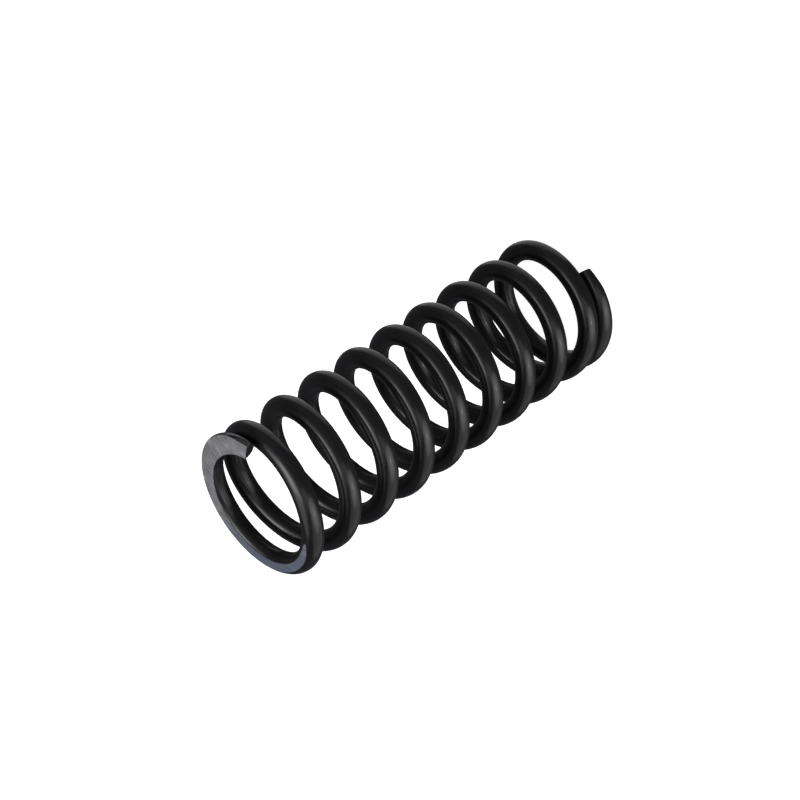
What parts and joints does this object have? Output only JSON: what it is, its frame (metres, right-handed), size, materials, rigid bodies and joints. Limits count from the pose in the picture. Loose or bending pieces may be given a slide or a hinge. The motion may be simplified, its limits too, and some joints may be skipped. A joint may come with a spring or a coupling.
{
  "type": "coil spring",
  "caption": "Left-hand wound cylindrical compression coil spring of round bar, both ends closed and ground flat, with a black coating.",
  "frame": {"origin": "centre of the lower ground face, on the spring's axis, at the height of the lower seat", "axes": "+Z along the spring's axis from the lower end to the upper end; +X towards the upper tip of the bar"},
  "size_m": [0.0874, 0.0874, 0.2485],
  "materials": {
    "black_coating": "semi-gloss black electrocoat or powder coat over the whole bar",
    "ground_face": "ground flat, grinding marks running along the coil, dulled by a thin coat"
  },
  "bodies": {
    "lower_end_coil": {"lower_end_coil": "black_coating"},
    "active_coil_1_quarter_1": {"active_coil_1_quarter_1": "black_coating"},
    "active_coil_1_quarter_2": {"active_coil_1_quarter_2": "black_coating"},
    "active_coil_1_quarter_3": {"active_coil_1_quarter_3": "black_coating"},
    "active_coil_1_quarter_4": {"active_coil_1_quarter_4": "black_coating"},
    "active_coil_2_quarter_1": {"active_coil_2_quarter_1": "black_coating"},
    "active_coil_2_quarter_2": {"active_coil_2_quarter_2": "black_coating"},
    "active_coil_2_quarter_3": {"active_coil_2_quarter_3": "black_coating"},
    "active_coil_2_quarter_4": {"active_coil_2_quarter_4": "black_coating"},
    "active_coil_3_quarter_1": {"active_coil_3_quarter_1": "black_coating"},
    "active_coil_3_quarter_2": {"active_coil_3_quarter_2": "black_coating"},
    "active_coil_3_quarter_3": {"active_coil_3_quarter_3": "black_coating"},
    "active_coil_3_quarter_4": {"active_coil_3_quarter_4": "black_coating"},
    "active_coil_4_quarter_1": {"active_coil_4_quarter_1": "black_coating"},
    "active_coil_4_quarter_2": {"active_coil_4_quarter_2": "black_coating"},
    "active_coil_4_quarter_3": {"active_coil_4_quarter_3": "black_coating"},
    "active_coil_4_quarter_4": {"active_coil_4_quarter_4": "black_coating"},
    "active_coil_5_quarter_1": {"active_coil_5_quarter_1": "black_coating"},
    "active_coil_5_quarter_2": {"active_coil_5_quarter_2": "black_coating"},
    "active_coil_5_quarter_3": {"active_coil_5_quarter_3": "black_coating"},
    "active_coil_5_quarter_4": {"active_coil_5_quarter_4": "black_coating"},
    "active_coil_6_quarter_1": {"active_coil_6_quarter_1": "black_coating"},
    "active_coil_6_quarter_2": {"active_coil_6_quarter_2": "black_coating"},
    "active_coil_6_quarter_3": {"active_coil_6_quarter_3": "black_coating"},
    "active_coil_6_quarter_4": {"active_coil_6_quarter_4": "black_coating"},
    "active_coil_7_quarter_1": {"active_coil_7_quarter_1": "black_coating"},
    "active_coil_7_quarter_2": {"active_coil_7_quarter_2": "black_coating"},
    "active_coil_7_quarter_3": {"active_coil_7_quarter_3": "black_coating"},
    "active_coil_7_quarter_4": {"active_coil_7_quarter_4": "black_coating"},
    "active_coil_8_quarter_1": {"active_coil_8_quarter_1": "black_coating"},
    "upper_end_coil": {"upper_end_coil": "black_coating"}
  },
  "joints": [
    {"name": "compression", "type": "slide", "parent": "lower_end_coil", "child": "upper_end_coil", "axis": [0, 0, 1], "range_m": [-0.114, 0], "stiffness_N_per_m": 59700},
    {"name": "active_coil_1_quarter_1_travel", "type": "slide", "parent": "lower_end_coil", "child": "active_coil_1_quarter_1", "axis": [0, 0, 1], "range_m": [-0.0038, 0]},
    {"name": "active_coil_1_quarter_2_travel", "type": "slide", "parent": "lower_end_coil", "child": "active_coil_1_quarter_2", "axis": [0, 0, 1], "range_m": [-0.0076, 0]},
    {"name": "active_coil_1_quarter_3_travel", "type": "slide", "parent": "lower_end_coil", "child": "active_coil_1_quarter_3", "axis": [0, 0, 1], "range_m": [-0.0114, 0]},
    {"name": "active_coil_1_quarter_4_travel", "type": "slide", "parent": "lower_end_coil", "child": "active_coil_1_quarter_4", "axis": [0, 0, 1], "range_m": [-0.0152, 0]},
    {"name": "active_coil_2_quarter_1_travel", "type": "slide", "parent": "lower_end_coil", "child": "active_coil_2_quarter_1", "axis": [0, 0, 1], "range_m": [-0.019, 0]},
    {"name": "active_coil_2_quarter_2_travel", "type": "slide", "parent": "lower_end_coil", "child": "active_coil_2_quarter_2", "axis": [0, 0, 1], "range_m": [-0.0228, 0]},
    {"name": "active_coil_2_quarter_3_travel", "type": "slide", "parent": "lower_end_coil", "child": "active_coil_2_quarter_3", "axis": [0, 0, 1], "range_m": [-0.0266, 0]},
    {"name": "active_coil_2_quarter_4_travel", "type": "slide", "parent": "lower_end_coil", "child": "active_coil_2_quarter_4", "axis": [0, 0, 1], "range_m": [-0.0304, 0]},
    {"name": "active_coil_3_quarter_1_travel", "type": "slide", "parent": "lower_end_coil", "child": "active_coil_3_quarter_1", "axis": [0, 0, 1], "range_m": [-0.0342, 0]},
    {"name": "active_coil_3_quarter_2_travel", "type": "slide", "parent": "lower_end_coil", "child": "active_coil_3_quarter_2", "axis": [0, 0, 1], "range_m": [-0.038, 0]},
    {"name": "active_coil_3_quarter_3_travel", "type": "slide", "parent": "lower_end_coil", "child": "active_coil_3_quarter_3", "axis": [0, 0, 1], "range_m": [-0.0418, 0]},
    {"name": "active_coil_3_quarter_4_travel", "type": "slide", "parent": "lower_end_coil", "child": "active_coil_3_quarter_4", "axis": [0, 0, 1], "range_m": [-0.0456, 0]},
    {"name": "active_coil_4_quarter_1_travel", "type": "slide", "parent": "lower_end_coil", "child": "active_coil_4_quarter_1", "axis": [0, 0, 1], "range_m": [-0.0494, 0]},
    {"name": "active_coil_4_quarter_2_travel", "type": "slide", "parent": "lower_end_coil", "child": "active_coil_4_quarter_2", "axis": [0, 0, 1], "range_m": [-0.0532, 0]},
    {"name": "active_coil_4_quarter_3_travel", "type": "slide", "parent": "lower_end_coil", "child": "active_coil_4_quarter_3", "axis": [0, 0, 1], "range_m": [-0.057, 0]},
    {"name": "active_coil_4_quarter_4_travel", "type": "slide", "parent": "lower_end_coil", "child": "active_coil_4_quarter_4", "axis": [0, 0, 1], "range_m": [-0.0608, 0]},
    {"name": "active_coil_5_quarter_1_travel", "type": "slide", "parent": "lower_end_coil", "child": "active_coil_5_quarter_1", "axis": [0, 0, 1], "range_m": [-0.0646, 0]},
    {"name": "active_coil_5_quarter_2_travel", "type": "slide", "parent": "lower_end_coil", "child": "active_coil_5_quarter_2", "axis": [0, 0, 1], "range_m": [-0.0684, 0]},
    {"name": "active_coil_5_quarter_3_travel", "type": "slide", "parent": "lower_end_coil", "child": "active_coil_5_quarter_3", "axis": [0, 0, 1], "range_m": [-0.0722, 0]},
    {"name": "active_coil_5_quarter_4_travel", "type": "slide", "parent": "lower_end_coil", "child": "active_coil_5_quarter_4", "axis": [0, 0, 1], "range_m": [-0.076, 0]},
    {"name": "active_coil_6_quarter_1_travel", "type": "slide", "parent": "lower_end_coil", "child": "active_coil_6_quarter_1", "axis": [0, 0, 1], "range_m": [-0.0798, 0]},
    {"name": "active_coil_6_quarter_2_travel", "type": "slide", "parent": "lower_end_coil", "child": "active_coil_6_quarter_2", "axis": [0, 0, 1], "range_m": [-0.0836, 0]},
    {"name": "active_coil_6_quarter_3_travel", "type": "slide", "parent": "lower_end_coil", "child": "active_coil_6_quarter_3", "axis": [0, 0, 1], "range_m": [-0.0874, 0]},
    {"name": "active_coil_6_quarter_4_travel", "type": "slide", "parent": "lower_end_coil", "child": "active_coil_6_quarter_4", "axis": [0, 0, 1], "range_m": [-0.0912, 0]},
    {"name": "active_coil_7_quarter_1_travel", "type": "slide", "parent": "lower_end_coil", "child": "active_coil_7_quarter_1", "axis": [0, 0, 1], "range_m": [-0.095, 0]},
    {"name": "active_coil_7_quarter_2_travel", "type": "slide", "parent": "lower_end_coil", "child": "active_coil_7_quarter_2", "axis": [0, 0, 1], "range_m": [-0.0988, 0]},
    {"name": "active_coil_7_quarter_3_travel", "type": "slide", "parent": "lower_end_coil", "child": "active_coil_7_quarter_3", "axis": [0, 0, 1], "range_m": [-0.1026, 0]},
    {"name": "active_coil_7_quarter_4_travel", "type": "slide", "parent": "lower_end_coil", "child": "active_coil_7_quarter_4", "axis": [0, 0, 1], "range_m": [-0.1064, 0]},
    {"name": "active_coil_8_quarter_1_travel", "type": "slide", "parent": "lower_end_coil", "child": "active_coil_8_quarter_1", "axis": [0, 0, 1], "range_m": [-0.1102, 0]}
  ],
  "couplings": [
    {"joint": "active_coil_1_quarter_1_travel", "follows": "compression", "ratio": 0.033333},
    {"joint": "active_coil_1_quarter_2_travel", "follows": "compression", "ratio": 0.066667},
    {"joint": "active_coil_1_quarter_3_travel", "follows": "compression", "ratio": 0.1},
    {"joint": "active_coil_1_quarter_4_travel", "follows": "compression", "ratio": 0.13333},
    {"joint": "active_coil_2_quarter_1_travel", "follows": "compression", "ratio": 0.16667},
    {"joint": "active_coil_2_quarter_2_travel", "follows": "compression", "ratio": 0.2},
    {"joint": "active_coil_2_quarter_3_travel", "follows": "compression", "ratio": 0.23333},
    {"joint": "active_coil_2_quarter_4_travel", "follows": "compression", "ratio": 0.26667},
    {"joint": "active_coil_3_quarter_1_travel", "follows": "compression", "ratio": 0.3},
    {"joint": "active_coil_3_quarter_2_travel", "follows": "compression", "ratio": 0.33333},
    {"joint": "active_coil_3_quarter_3_travel", "follows": "compression", "ratio": 0.36667},
    {"joint": "active_coil_3_quarter_4_travel", "follows": "compression", "ratio": 0.4},
    {"joint": "active_coil_4_quarter_1_travel", "follows": "compression", "ratio": 0.43333},
    {"joint": "active_coil_4_quarter_2_travel", "follows": "compression", "ratio": 0.46667},
    {"joint": "active_coil_4_quarter_3_travel", "follows": "compression", "ratio": 0.5},
    {"joint": "active_coil_4_quarter_4_travel", "follows": "compression", "ratio": 0.53333},
    {"joint": "active_coil_5_quarter_1_travel", "follows": "compression", "ratio": 0.56667},
    {"joint": "active_coil_5_quarter_2_travel", "follows": "compression", "ratio": 0.6},
    {"joint": "active_coil_5_quarter_3_travel", "follows": "compression", "ratio": 0.63333},
    {"joint": "active_coil_5_quarter_4_travel", "follows": "compression", "ratio": 0.66667},
    {"joint": "active_coil_6_quarter_1_travel", "follows": "compression", "ratio": 0.7},
    {"joint": "active_coil_6_quarter_2_travel", "follows": "compression", "ratio": 0.73333},
    {"joint": "active_coil_6_quarter_3_travel", "follows": "compression", "ratio": 0.76667},
    {"joint": "active_coil_6_quarter_4_travel", "follows": "compression", "ratio": 0.8},
    {"joint": "active_coil_7_quarter_1_travel", "follows": "compression", "ratio": 0.83333},
    {"joint": "active_coil_7_quarter_2_travel", "follows": "compression", "ratio": 0.86667},
    {"joint": "active_coil_7_quarter_3_travel", "follows": "compression", "ratio": 0.9},
    {"joint": "active_coil_7_quarter_4_travel", "follows": "compression", "ratio": 0.93333},
    {"joint": "active_coil_8_quarter_1_travel", "follows": "compression", "ratio": 0.96667}
  ]
}
